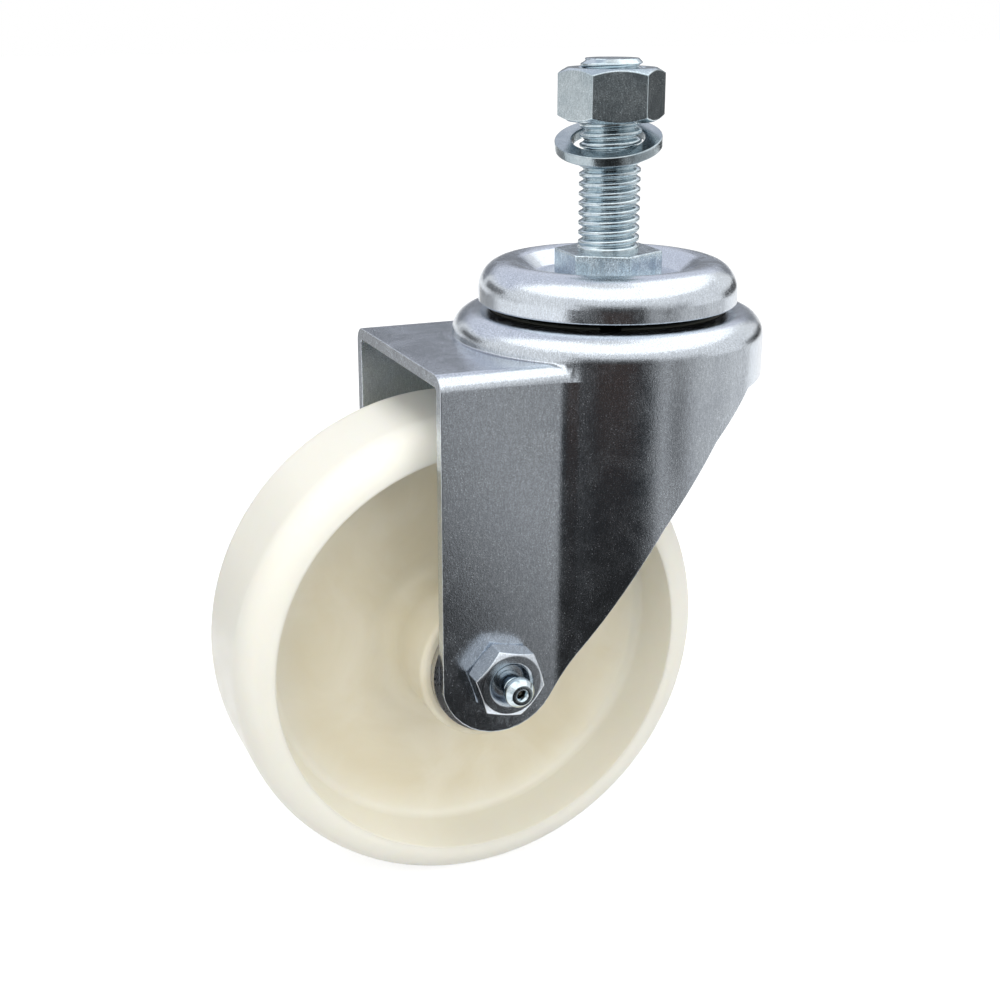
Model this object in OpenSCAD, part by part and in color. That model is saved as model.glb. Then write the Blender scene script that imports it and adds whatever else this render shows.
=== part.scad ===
// Swivel castor with a threaded stem, a pressed steel fork and a nylon wheel.
// Millimetres, +Z up. The origin is on the swivel axis, on top of the stem's hex collar,
// which is the face that seats against the equipment. The wheel trails towards -X and
// turns about an axis along Y.

/* [Stem] */
// Outside diameter of the threaded stem and of the kingpin below it
stem_d = 12.7; // [10:0.1:15]
// Length of the thread above the collar
stem_l = 38.1; // [32:0.1:60]
// Chamfer at the tip of the thread
tip_chamfer = 1.0; // [0.4:0.1:1.6]
// Width across the flats of the hex collar
collar_af = 19.5; // [17:0.1:24]
// Height of the hex collar
collar_h = 5.3; // [4.5:0.1:6]
// Angle of the collar's first corner about the stem
collar_turn = 27.5; // [0:0.5:60]

/* [Stem nut and lock washer] */
// Width across the flats of the nut
nut_af = 19.05; // [17:0.05:24]
// Height of the nut
nut_h = 10.4; // [8:0.1:12]
// How far the stem's tip stands out of the nut
stem_above_nut = 1.8; // [0.5:0.1:6]
// Angle of the nut's first corner about the stem
nut_turn = 44; // [0:0.5:60]
// Radial clearance of the lock washer on the stem
washer_clearance = 1.1; // [0.9:0.05:2]
// Width of the lock washer's section
washer_section_w = 3.5; // [2.5:0.1:4.5]
// Thickness of the lock washer
washer_t = 2.1; // [1.5:0.1:2.6]
// Lean of the lock washer as it hangs under the nut
washer_lean = 16.5; // [0:0.5:17]
// Side to which the lock washer leans, about the stem
washer_lean_side = -127; // [-180:1:180]
// Gap between the lock washer's high side and the nut
washer_hang = 0.18; // [0.05:0.01:2]
// Gap of the lock washer's split
washer_split = 1.2; // [0.5:0.1:2]

/* [Top cap] */
// Outside diameter of the pressed top cap
cap_d = 53.8; // [48:0.1:62]
// Sheet thickness of the top cap
cap_t = 1.9; // [1.5:0.05:2.3]
// Height of the cap's rounded rim above its dished floor
cap_dish = 3.3; // [2.8:0.1:3.8]
// Radius of the rounded rim, outside
cap_round = 6.0; // [5.3:0.1:7]
// Depth of the cap's skirt below its floor
cap_skirt = 5.3; // [4.6:0.1:6]

/* [Swivel raceways] */
// Diameter of the balls between the cap and the fork's crown
upper_ball_d = 6.35; // [5.5:0.05:7.1]
// Diameter of the balls between the crown and the lower race
lower_ball_d = 6.35; // [5:0.05:7.1]
// Least space between neighbouring balls of a ring
ball_spacing = 0.18; // [0.1:0.01:1]
// Flat width between the crown's hole and the lower groove
race_wall = 0.45; // [0.2:0.05:2]
// Running gap between a ball and each raceway
ball_gap = 0.12; // [0.08:0.01:0.2]
// Sheet thickness of the lower race
race_t = 2.0; // [1.5:0.1:3]
// Diameter of the kingpin's peened end
peen_d = 16; // [13:0.5:18]
// Height of the kingpin's peened end
peen_h = 2.6; // [1.5:0.1:4]

/* [Fork] */
// Sheet thickness of the fork
sheet_t = 2.5; // [2:0.1:3]
// Width over the outsides of the two legs
fork_w = 51.2; // [46:0.1:58]
// How far the round drum stands out all round beyond the top cap
drum_beyond_cap = 5.6; // [5:0.1:8]
// Inside radius of the drum's top edge
drum_bend = 2.5; // [1.5:0.1:3]
// Height of the drum above the rear shelf
drum_h = 5.4; // [4.5:0.1:6.5]
// Depth of the drum's front skirt below the shelf
front_skirt = 7.6; // [5:0.1:10]
// Inside radius of the fold between the shelf and each leg
fold_bend = 0.7; // [0.4:0.1:2.5]
// Radius of the hollow between each flat leg and the drum
hollow_r = 9.0; // [5:0.5:12]
// Radius of the round toe about the axle
toe_r = 12.6; // [11:0.1:16]
// How far the straight rear edges lie inside the toe's round
rear_inset = 0.3; // [0:0.1:2]

/* [Axle] */
// Distance of the axle behind the swivel axis
trail = 34.4; // [30:0.1:40]
// Clear height between the wheel and the shelf
wheel_headroom = 8.7; // [4:0.1:16]
// Diameter of the hollow axle bolt
axle_d = 8.0; // [6.5:0.1:9.5]
// Width across the flats of the axle's head and nut
axle_hex_af = 13.0; // [12.5:0.1:17]
// Height of the axle nut
axle_nut_h = 5.6; // [4.5:0.1:8]
// Height of the axle's hex head
axle_head_h = 5.3; // [3:0.1:8]
// Diameter of the grease passage along the axle
grease_bore_d = 2.6; // [2.2:0.1:2.8]
// Diameter of the grease fitting's head
fitting_head_d = 6.0; // [5.6:0.1:6.4]
// How far the grease fitting stands out of the axle nut
fitting_reach = 5.4; // [4.6:0.1:7]

/* [Wheel] */
// Diameter of the wheel over its tread
wheel_d = 101.6; // [90:0.1:115]
// Width of the wheel's rim
wheel_w = 31.8; // [26:0.1:38]
// Rounding from the tread into each side face
tread_round = 7.1; // [4:0.1:8]
// Flat land between the tread's rounding and the recess
rim_land = 0.1; // [0.1:0.1:5]
// Draft of the recess wall, as a loss of radius at the web
recess_draft = 1.1; // [0.5:0.1:3]
// Thickness of the web
web_t = 6; // [4:0.5:12]
// Wall of the hub around its bore
hub_wall = 6.0; // [4:0.1:10]
// Fillet between the hub and the web
hub_fillet = 5; // [2:0.5:7]

/* [Wheel bearing] */
// Wall of the sleeve on the axle
sleeve_wall = 2.25; // [1.5:0.05:4]
// Diameter of one roller
roller_d = 3.0; // [2.5:0.1:3.5]
// Least space between neighbouring rollers
roller_spacing = 1.0; // [0.8:0.1:3]
// Distance of each roller's end from the hub's side face
roller_end = 4.1; // [3.6:0.1:10]
// Wall of the roller cage
cage_t = 1.2; // [0.8:0.1:1.6]
// Running gap between a roller and each track
roller_gap = 0.06; // [0.03:0.01:0.1]
// Thickness of each thrust washer
thrust_t = 1.8; // [1:0.1:2.4]
// How far each thrust washer's rim lies inside the hub's
thrust_inset = 2; // [0.5:0.1:4]
// Side gap between the hub and each thrust washer
hub_gap = 0.2; // [0.1:0.05:0.5]

/* [Hidden] */
$fn = 96;

over = 1;            // how far a cut runs past what it cuts, or a join into its neighbour
fit_gap = 0.02;      // radial gap of a pressed or clamped fit
thread_gap = 0.07;   // radial gap of a thread drawn as a plain cylinder
slide_gap = 0.1;     // radial gap of a loose fit
edge_break = 0.6;    // chamfer of the bolt's tip and of the nuts' bores
arc_steps = 8;

zinc = [0.70, 0.73, 0.78];
dark_zinc = [0.55, 0.58, 0.63];
nylon = [0.94, 0.92, 0.86];
bearing_steel = [0.75, 0.76, 0.78];

// Nut and lock washer, from the stem's tip down
nut_z = stem_l - stem_above_nut - nut_h;
washer_in_r = stem_d / 2 + washer_clearance;
washer_out_r = washer_in_r + washer_section_w;
washer_rise = washer_out_r * sin(washer_lean) + washer_t / 2 * cos(washer_lean);
washer_z = nut_z - washer_hang - washer_rise;

// Heights of the swivel head, from the stem's seat down
cap_floor_z = -collar_h;
cap_top_z = cap_floor_z + cap_dish;
cap_rim_z = cap_floor_z - cap_skirt;
cap_to_drum = 1.4;    // gap between the cap's rim and the drum
ball_outset = 0.3;    // how far the upper balls run outside the centre of the cap's round
ball_to_crown = 1.4;  // how far the crown's middle lies under the upper balls' centres
ball_to_race = 1.2;   // how far the race's seat lies under the lower balls' centres
upper_ball_z = cap_top_z - cap_t - ball_gap - upper_ball_d / 2;
upper_track_r = upper_ball_d / 2 + ball_gap;
crown_in_z = upper_ball_z - ball_to_crown;
crown_under_z = crown_in_z - sheet_t;
lower_ball_z = crown_under_z - ball_gap - lower_ball_d / 2;
lower_track_r = lower_ball_d / 2 + ball_gap;
drum_top_z = cap_rim_z - cap_to_drum;
shelf_z = drum_top_z - drum_h;
race_seat_z = lower_ball_z - ball_to_race;
race_under_z = lower_ball_z - lower_track_r - race_t;

// Rings of balls: the upper one runs in the cap's round, the lower one outside the hole
stem_r = stem_d / 2;
kingpin_gap = 3.1;
crown_hole_r = stem_r + kingpin_gap;
upper_ball_ring = cap_d / 2 - cap_round + ball_outset;
lower_ball_ring = crown_hole_r + race_wall + lower_track_r;
upper_ball_n = floor(360 / (2 * asin((upper_ball_d + ball_spacing) / 2 / upper_ball_ring)));
lower_ball_n = floor(360 / (2 * asin((lower_ball_d + ball_spacing) / 2 / lower_ball_ring)));

// The stem's lower end: the kingpin, stepped down to a tenon that is peened over
tenon_step = 1.15;
tenon_l = 3.2;
tenon_r = stem_r - tenon_step;
tenon_end_z = race_seat_z - tenon_l;
peen_rim = 0.4;

// The lock washer hangs a little off centre, with its split behind
washer_shift = 0.4;
split_from_high_side = 25;
split_slant = 25;

// The cap's two bends, from the flat floor up to the crest of the rounded rim
cap_slope_w = 3.2;
cap_crest_w = 2.4;
cap_bend = 0.5;

// Pressed raceways: half widths of the grooves and of the ridges beside them
ridge_up = 0.3;
ridge_w = 2.9;
groove_under_in = 1.6;
groove_under_out = 2.2;
groove_wrap = 30;
race_lip_down = 0.9;
race_lip_w = 1.2;
race_flat_w = 2.2;

// The fork's outside radii and rear end, and how far the folded channel stops short of the axis
drum_r = cap_d / 2 + drum_beyond_cap;
drum_round = drum_bend + sheet_t;
fold_r = fold_bend + sheet_t;
rear_reach = trail + toe_r - rear_inset;
channel_end = 8;

// The front edge of the legs, bend by bend: behind the drum's front, and below the skirt
skirt_end = 8;
skirt_bend = [13.3, 0.4];
throat_bend = [22.9, 9.4];
knee_bend = [34.7, 25.8];

// Widths of the fork and of what it clamps
half_w = fork_w / 2;
leg_in = half_w - sheet_t;
hub_half = leg_in - thrust_t - hub_gap;

// The axle, its bearing and the wheel about it
axle_drop = sheet_t - shelf_z + wheel_headroom + wheel_d / 2;
axle_r = axle_d / 2;
sleeve_r = axle_r + slide_gap + sleeve_wall;
roller_ring = sleeve_r + roller_gap + roller_d / 2;
roller_n = floor(360 / (2 * asin((roller_d + roller_spacing) / 2 / roller_ring)));
roller_l = 2 * (hub_half - roller_end);
hub_bore_r = roller_ring + roller_d / 2 + roller_gap;
hub_r = hub_bore_r + hub_wall;
recess_r = wheel_d / 2 - tread_round - rim_land;

// The grease fitting sits in a socket at the bolt's near end, inside the axle nut
bolt_head_turn = 12;
socket_depth = 6;
bolt_inset = 2.2;
bolt_end = half_w + axle_nut_h - bolt_inset;
fitting_tip = half_w + axle_nut_h + fitting_reach;
fitting_head_r = fitting_head_d / 2;
fitting_neck_r = fitting_head_r - 0.7;
fitting_base = bolt_end - socket_depth + 0.4;
chamber_r = 1.3;
check_ball_r = 1.1;
check_ball_at = fitting_tip - 2.35;
spring_wire_r = 0.16;
spring_coil_r = 0.95;
spring_turns = 6;

function arc(c, r, a0, a1, n = arc_steps) =
    [for (i = [0:n]) c + r * [cos(a0 + (a1 - a0) * i / n), sin(a0 + (a1 - a0) * i / n)]];

function mirrored(pts) = [for (i = [len(pts) - 1:-1:0]) [pts[i][0], -pts[i][1]]];

// Place a shape drawn about Z on the axle, with its +Z along -Y, the near side
module on_axle() {
    translate([-trail, 0, -axle_drop]) rotate([90, 0, 0]) children();
}

// A hex prism whose corners are cut back by a 30 degree cone at one or both ends
module hex_body(af, h, turn, low, high) {
    corner_r = af / sqrt(3);
    face_r = af / 2 * 0.95;
    drop = (corner_r + over - face_r) * tan(30);
    intersection() {
        rotate([0, 0, turn]) cylinder(r = corner_r, h = h, $fn = 6);
        rotate_extrude() polygon(concat(
            [[0, 0]],
            low ? [[face_r, 0], [corner_r + over, drop]] : [[corner_r + over, 0]],
            high ? [[corner_r + over, h - drop], [face_r, h]] : [[corner_r + over, h]],
            [[0, h]]));
    }
}

// A plain bore with a 45 degree countersink at both ends
module countersunk_bore(r, h, sink) {
    translate([0, 0, -over]) cylinder(r = r, h = h + 2 * over);
    translate([0, 0, -over]) cylinder(r1 = r + sink + over, r2 = r, h = sink + over);
    translate([0, 0, h - sink]) cylinder(r1 = r, r2 = r + sink + over, h = sink + over);
}

// A ring of like pieces about Z
module ring_of(n, r) {
    for (i = [0:n - 1]) rotate([0, 0, i * 360 / n]) translate([r, 0, 0]) children();
}

// Threaded stem, hex collar, kingpin and peened end are one turned piece
module threaded_stem() {
    color(zinc) {
        cylinder(r = stem_r, h = stem_l - tip_chamfer);
        translate([0, 0, stem_l - tip_chamfer])
            cylinder(r1 = stem_r, r2 = stem_r - tip_chamfer, h = tip_chamfer);
        translate([0, 0, -collar_h]) rotate([0, 0, collar_turn])
            cylinder(r = collar_af / sqrt(3), h = collar_h, $fn = 6);
        translate([0, 0, race_seat_z])
            cylinder(r = stem_r, h = -collar_h - race_seat_z + over);
        translate([0, 0, tenon_end_z - over])
            cylinder(r = tenon_r, h = tenon_l + 2 * over);
        rotate_extrude() polygon(concat(
            [[0, tenon_end_z]],
            [[peen_d / 2, tenon_end_z]],
            arc([peen_d / 2 - peen_h, tenon_end_z - peen_rim], peen_h - peen_rim, 0, -80),
            [[0, tenon_end_z - peen_h]]));
    }
}

module stem_nut() {
    color(zinc) translate([0, 0, nut_z]) difference() {
        hex_body(nut_af, nut_h, nut_turn, true, true);
        countersunk_bore(stem_r + thread_gap, nut_h, edge_break);
    }
}

// Split spring washer, hanging aslant on the thread with its high side under the nut
module lock_washer() {
    side = washer_lean_side;
    color(dark_zinc)
    translate(washer_shift * [sin(side), -cos(side), 0])
    translate([0, 0, washer_z]) rotate(a = washer_lean, v = [-sin(side), cos(side), 0])
    difference() {
        translate([0, 0, -washer_t / 2]) cylinder(r = washer_out_r, h = washer_t);
        translate([0, 0, -washer_t / 2 - over])
            cylinder(r = washer_in_r, h = washer_t + 2 * over);
        rotate([0, 0, side + 180 + split_from_high_side])
            translate([(washer_in_r + washer_out_r) / 2, 0, 0]) rotate([split_slant, 0, 0])
            cube([washer_section_w * 2, washer_split, washer_t * 3], true);
    }
}

// Pressed cap: dished floor under the collar, rounded rim, skirt turned down over the balls
module top_cap() {
    r = cap_d / 2;
    rim_c = [r - cap_round, cap_top_z - cap_round];
    crest_r = r - cap_round - cap_crest_w;
    floor_r = crest_r - cap_slope_w;
    color(zinc) rotate_extrude() polygon(concat(
        [[stem_r + fit_gap, cap_floor_z]],
        [[floor_r, cap_floor_z], [floor_r + 2 * cap_bend, cap_floor_z + cap_bend]],
        [[crest_r - cap_bend / 2, cap_top_z - 2 * cap_bend]],
        [[crest_r + cap_bend, cap_top_z - cap_bend / 2]],
        arc(rim_c, cap_round, 100, 0),
        [[r, cap_rim_z + cap_bend], [r - cap_bend, cap_rim_z]],
        [[r - cap_t + cap_bend, cap_rim_z], [r - cap_t, cap_rim_z + cap_bend]],
        arc(rim_c, cap_round - cap_t, 0, 95),
        [[crest_r + 2 * cap_bend, cap_top_z - cap_t - cap_bend / 2]],
        [[floor_r + 4 * cap_bend, cap_floor_z - cap_t + cap_bend]],
        [[floor_r + cap_bend, cap_floor_z - cap_t]],
        [[stem_r + fit_gap, cap_floor_z - cap_t]]));
}

module upper_balls() {
    color(bearing_steel) ring_of(upper_ball_n, upper_ball_ring)
        translate([0, 0, upper_ball_z]) sphere(d = upper_ball_d);
}

module lower_balls() {
    color(bearing_steel) ring_of(lower_ball_n, lower_ball_ring)
        translate([0, 0, lower_ball_z]) sphere(d = lower_ball_d);
}

// Lower race: a pressed dish clamped between the kingpin's step and its peened end
module lower_race() {
    in_r = tenon_r + fit_gap;
    c = [lower_ball_ring, lower_ball_z];
    a_in = asin(ball_to_race / lower_track_r);
    a_out = asin(race_lip_down / lower_track_r);
    lip_r = lower_ball_ring + lower_track_r * cos(a_out);
    lip_z = lower_ball_z - race_lip_down;
    color(zinc) rotate_extrude() polygon(concat(
        [[in_r, race_seat_z]],
        arc(c, lower_track_r, 180 + a_in, 360 - a_out),
        [[lip_r + race_lip_w, lip_z], [lip_r + race_lip_w, lip_z - race_lip_w]],
        [[lower_ball_ring + race_flat_w, race_under_z]],
        [[lower_ball_ring - race_flat_w, race_under_z]],
        [[lower_ball_ring - 2 * race_flat_w, tenon_end_z], [in_r, tenon_end_z]]));
}

// Outside of the drum and crown, with the upper groove, as a profile filled down to z
function crown_outside(z) =
    let (ridge_z = upper_ball_z - upper_track_r + ridge_up,
        a_in = asin(ball_to_crown / upper_track_r),
        a_out = asin((upper_track_r - ridge_up) / upper_track_r))
    concat(
        [[0, z], [drum_r, z]],
        arc([drum_r - drum_round, drum_top_z - drum_round], drum_round, 0, 90),
        [[upper_ball_ring + ridge_w + cap_bend, drum_top_z]],
        [[upper_ball_ring + ridge_w, ridge_z]],
        arc([upper_ball_ring, upper_ball_z], upper_track_r, 360 - a_out, 180 + a_in),
        [[0, crown_in_z]]);

// Inside of the drum and crown, with the lower groove, as a profile filled down to z
function crown_inside(z) =
    let (bend = drum_round - sheet_t,
        groove_z = upper_ball_z - upper_track_r - sheet_t)
    concat(
        [[0, z], [drum_r - sheet_t, z]],
        arc([drum_r - drum_round, drum_top_z - drum_round], bend, 0, 90),
        [[upper_ball_ring + ridge_w + cap_bend, drum_top_z - sheet_t]],
        [[upper_ball_ring + groove_under_out, groove_z]],
        [[upper_ball_ring - groove_under_in, groove_z]],
        arc([lower_ball_ring, lower_ball_z], lower_track_r, groove_wrap, 90),
        [[0, crown_under_z]]);

// The two legs and the shelf between them as one folded channel, grown inwards by t
module channel(t, low_z) {
    r = fold_r - t;
    w = half_w - t;
    top = shelf_z - t;
    run_out = t > 0 ? over : 0;
    translate([-rear_reach - run_out, 0, 0]) rotate([90, 0, 90])
        linear_extrude(height = rear_reach - channel_end + run_out) polygon(concat(
            [[-w, low_z], [w, low_z]],
            arc([w - r, top - r], r, 0, 90),
            arc([-w + r, top - r], r, 90, 180)));
}

// The hollow that eases each flat leg into the round of the drum, grown inwards by t
module hollows(t, low_z) {
    c = [-sqrt(pow(drum_r + hollow_r, 2) - pow(half_w + hollow_r, 2)), half_w + hollow_r];
    to_axis = atan2(-c[1], -c[0]);
    inward = 0.6;
    web = concat(arc(c, hollow_r + t, -90, to_axis),
        [[c[0], half_w] * inward, [c[0], half_w * inward]]);
    for (side = [0, 1]) mirror([0, side, 0]) translate([0, 0, low_z])
        linear_extrude(height = shelf_z - fold_r - low_z) polygon(web);
}

// Side outline of the fork: straight rear edge, round toe, sloping front edge, short skirt
module side_outline() {
    skirt_z = shelf_z - front_skirt;
    toe = [-trail, -axle_drop];
    knee = [drum_r - knee_bend[0], skirt_z - knee_bend[1]];
    reach = norm(knee - toe);
    touch = atan2(knee[1] - toe[1], knee[0] - toe[0]) - acos(toe_r / reach);
    rear_a = 180 - acos((toe_r - rear_inset) / toe_r);
    rotate([90, 0, 0]) translate([0, 0, -drum_r - over])
        linear_extrude(height = 2 * (drum_r + over)) polygon(concat(
            [[-rear_reach, over]],
            arc(toe, toe_r, rear_a, 360 + touch, 2 * arc_steps),
            [knee, [drum_r - throat_bend[0], skirt_z - throat_bend[1]]],
            [[drum_r - skirt_bend[0], skirt_z - skirt_bend[1]]],
            [[drum_r - skirt_end, skirt_z]],
            [[drum_r + over, skirt_z], [drum_r + over, over]]));
}

// The fork is one sheet, pressed into a round crown with both raceways and two folded legs
module fork() {
    low_z = -axle_drop - toe_r - over;
    color(zinc) difference() {
        intersection() {
            difference() {
                union() {
                    channel(0, low_z);
                    hollows(0, low_z);
                    rotate_extrude() polygon(crown_outside(low_z));
                }
                channel(sheet_t, low_z - over);
                hollows(sheet_t, low_z - over);
                rotate_extrude() polygon(crown_inside(low_z - over));
            }
            side_outline();
        }
        translate([0, 0, crown_under_z - over])
            cylinder(r = crown_hole_r, h = sheet_t + 2 * over);
        on_axle() translate([0, 0, -half_w - over])
            cylinder(r = axle_r + slide_gap, h = fork_w + 2 * over);
    }
}

// Hollow axle bolt: hex head on the far side, cross hole that feeds the rollers
module axle_bolt() {
    color(zinc) on_axle() difference() {
        union() {
            translate([0, 0, -half_w]) cylinder(r = axle_r, h = half_w + bolt_end - edge_break);
            translate([0, 0, bolt_end - edge_break])
                cylinder(r1 = axle_r, r2 = axle_r - edge_break, h = edge_break);
            translate([0, 0, -half_w]) mirror([0, 0, 1])
                hex_body(axle_hex_af, axle_head_h, bolt_head_turn, false, true);
        }
        cylinder(d = grease_bore_d, h = bolt_end + over);
        translate([0, 0, bolt_end - socket_depth])
            cylinder(r = fitting_neck_r + fit_gap, h = socket_depth + over);
        rotate([0, 90, 0]) cylinder(d = grease_bore_d, h = axle_r + over);
    }
}

module axle_nut() {
    color(zinc) on_axle() translate([0, 0, half_w]) difference() {
        hex_body(axle_hex_af, axle_nut_h, -bolt_head_turn, true, true);
        countersunk_bore(axle_r + fit_gap, axle_nut_h, edge_break);
    }
}

// Grease fitting: pressed shank, grooved neck, head with a coned nose over the check ball
module grease_fitting() {
    throat_r = 0.75;
    groove_r = fitting_neck_r - 0.35;
    tip = fitting_tip;
    color(zinc) on_axle() rotate_extrude() polygon([
        [chamber_r, fitting_base], [fitting_neck_r, fitting_base],
        [fitting_neck_r, tip - 3.9], [groove_r, tip - 3.6], [groove_r, tip - 3.1],
        [fitting_head_r, tip - 2.6], [fitting_head_r, tip - 1.2], [fitting_head_r - 0.9, tip],
        [throat_r + 0.5, tip], [throat_r, tip - 0.7], [throat_r, tip - 1.1],
        [chamber_r, tip - 1.7]]);
}

module grease_check_ball() {
    color(bearing_steel) on_axle() translate([0, 0, check_ball_at]) sphere(r = check_ball_r);
}

// Coil spring under the check ball, a small round wire with closed ends
module grease_spring() {
    low = fitting_base + 2 * spring_wire_r;
    high = check_ball_at - check_ball_r - 2 * spring_wire_r;
    steps = spring_turns * 10;
    sides = 6;
    pts = [for (i = [0:steps], k = [0:sides - 1])
        let (a = 360 * spring_turns * i / steps,
            b = 360 * k / sides,
            r = spring_coil_r + spring_wire_r * cos(b))
        [r * cos(a), r * sin(a), low + (high - low) * i / steps + spring_wire_r * sin(b)]];
    walls = [for (i = [0:steps - 1], k = [0:sides - 1])
        let (n = (k + 1) % sides)
        [i * sides + k, i * sides + n, (i + 1) * sides + n, (i + 1) * sides + k]];
    ends = [[for (k = [sides - 1:-1:0]) k], [for (k = [0:sides - 1]) steps * sides + k]];
    color(bearing_steel) on_axle()
        polyhedron(points = pts, faces = concat(walls, ends), convexity = 4);
}

// Sleeve clamped between the legs, on which the rollers run
module axle_sleeve() {
    color(dark_zinc) on_axle() difference() {
        translate([0, 0, -leg_in]) cylinder(r = sleeve_r, h = 2 * leg_in);
        translate([0, 0, -leg_in - over])
            cylinder(r = axle_r + slide_gap, h = 2 * (leg_in + over));
        rotate([0, 90, 0]) cylinder(d = grease_bore_d, h = sleeve_r + over);
    }
}

module thrust_washer() {
    difference() {
        cylinder(r = hub_r - thrust_inset, h = thrust_t);
        translate([0, 0, -over])
            cylinder(r = sleeve_r + slide_gap, h = thrust_t + 2 * over);
    }
}

module near_thrust_washer() {
    color(dark_zinc) on_axle() translate([0, 0, leg_in - thrust_t]) thrust_washer();
}

module far_thrust_washer() {
    color(dark_zinc) on_axle() translate([0, 0, -leg_in]) thrust_washer();
}

// One moulding: thick rim, drafted recess, thin web, filleted hub bored for the rollers
module wheel() {
    r = wheel_d / 2;
    half = wheel_w / 2;
    web = web_t / 2;
    wall_r = recess_r - recess_draft;
    corner = 2;
    lip = 0.3;
    hub_edge = 1;
    side = concat(
        arc([r - tread_round, half - tread_round], tread_round, 0, 90),
        [[recess_r, half - lip]],
        arc([wall_r - corner, web + corner], corner, 0, -90),
        arc([hub_r + hub_fillet, web + hub_fillet], hub_fillet, 270, 180),
        [[hub_r - lip, hub_half - hub_edge], [hub_r - lip - hub_edge, hub_half]],
        [[hub_bore_r + slide_gap, hub_half]]);
    color(nylon) on_axle() difference() {
        rotate_extrude() polygon(concat(side, [[0, hub_half], [0, -hub_half]], mirrored(side)));
        translate([0, 0, -hub_half - over]) cylinder(r = hub_bore_r, h = 2 * (hub_half + over));
    }
}

// Cage that spaces the rollers, a tube with one window for each
module roller_cage() {
    end_wall = 2.2;
    half = roller_l / 2 + end_wall;
    color(dark_zinc) on_axle() difference() {
        translate([0, 0, -half]) cylinder(r = roller_ring + cage_t / 2, h = 2 * half);
        translate([0, 0, -half - over])
            cylinder(r = roller_ring - cage_t / 2, h = 2 * (half + over));
        ring_of(roller_n, roller_ring)
            cube([roller_d, roller_d + 2 * slide_gap, roller_l + 2 * slide_gap], true);
    }
}

module bearing_rollers() {
    color(bearing_steel) on_axle() ring_of(roller_n, roller_ring)
        translate([0, 0, -roller_l / 2]) cylinder(d = roller_d, h = roller_l);
}

threaded_stem();
stem_nut();
lock_washer();
top_cap();
upper_balls();
fork();
lower_balls();
lower_race();
axle_bolt();
axle_nut();
grease_fitting();
grease_check_ball();
grease_spring();
axle_sleeve();
near_thrust_washer();
far_thrust_washer();
wheel();
roller_cage();
bearing_rollers();
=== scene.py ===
"""Looks of a swivel castor: plated stem and fork, nylon wheel, bearings and studio stage.

Laid out as a Blender add-on and run as a script. Lengths in the tables are millimetres.
"""
import math

import bmesh
import bpy
from bpy.props import FloatProperty, FloatVectorProperty, IntProperty, PointerProperty
from mathutils import Matrix, Vector


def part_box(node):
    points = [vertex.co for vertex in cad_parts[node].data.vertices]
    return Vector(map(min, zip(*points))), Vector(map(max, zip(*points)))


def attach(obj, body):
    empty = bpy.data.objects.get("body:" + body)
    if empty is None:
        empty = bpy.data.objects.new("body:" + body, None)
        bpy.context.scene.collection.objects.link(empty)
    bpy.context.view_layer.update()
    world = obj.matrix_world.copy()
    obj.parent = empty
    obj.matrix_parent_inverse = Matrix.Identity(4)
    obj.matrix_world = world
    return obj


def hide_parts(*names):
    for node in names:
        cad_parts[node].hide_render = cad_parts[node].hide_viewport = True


bl_info = {
    "name": "Swivel Castor Looks",
    "version": (1, 0, 0),
    "blender": (4, 5, 0),
    "location": "View3D > Sidebar > Castor",
    "description": "Dresses the packed solids of a swivel castor and lights them",
    "category": "Object",
}

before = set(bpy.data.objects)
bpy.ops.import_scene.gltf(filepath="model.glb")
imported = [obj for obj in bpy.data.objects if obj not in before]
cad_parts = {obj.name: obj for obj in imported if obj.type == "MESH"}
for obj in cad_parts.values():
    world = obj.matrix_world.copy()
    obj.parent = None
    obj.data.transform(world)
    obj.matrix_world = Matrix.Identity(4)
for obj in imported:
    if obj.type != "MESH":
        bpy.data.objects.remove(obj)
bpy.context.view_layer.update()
MM = 0.001

# Where the main pieces lie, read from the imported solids
STEM_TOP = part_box("threaded_stem")[1].z / MM
STEM_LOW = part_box("threaded_stem")[0].z / MM
WHEEL_LOW, WHEEL_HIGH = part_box("wheel")
AXLE = ((WHEEL_LOW + WHEEL_HIGH) / 2) / MM
FLOOR_Z = WHEEL_LOW.z / MM

# Sizes that more than one piece uses
STEM_RADIUS = 6.35
COLLAR_LOW = -5.3

WHITE = (1, 1, 1)
# Near-black of the ring under the cap: grease, and painted shade in the gap between cap and crown
GREASE_AND_PAINTED_SHADE = (0.035, 0.036, 0.03)
BROWN_GREASE = (0.25, 0.2, 0.1)

# The studio. Azimuths of the cards are counted from the camera's, in degrees.
CAMERA_AZIMUTH = -112.4
CAMERA_PLACE = (-145.12, -293.50, 52.43)
CAMERA_AXES = ((0.9246, -0.3808, 0.0008), (0.118, 0.2885, 0.9502), (-0.3621, -0.8785, 0.3117))
FLOOR_REACH = 4000

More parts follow.
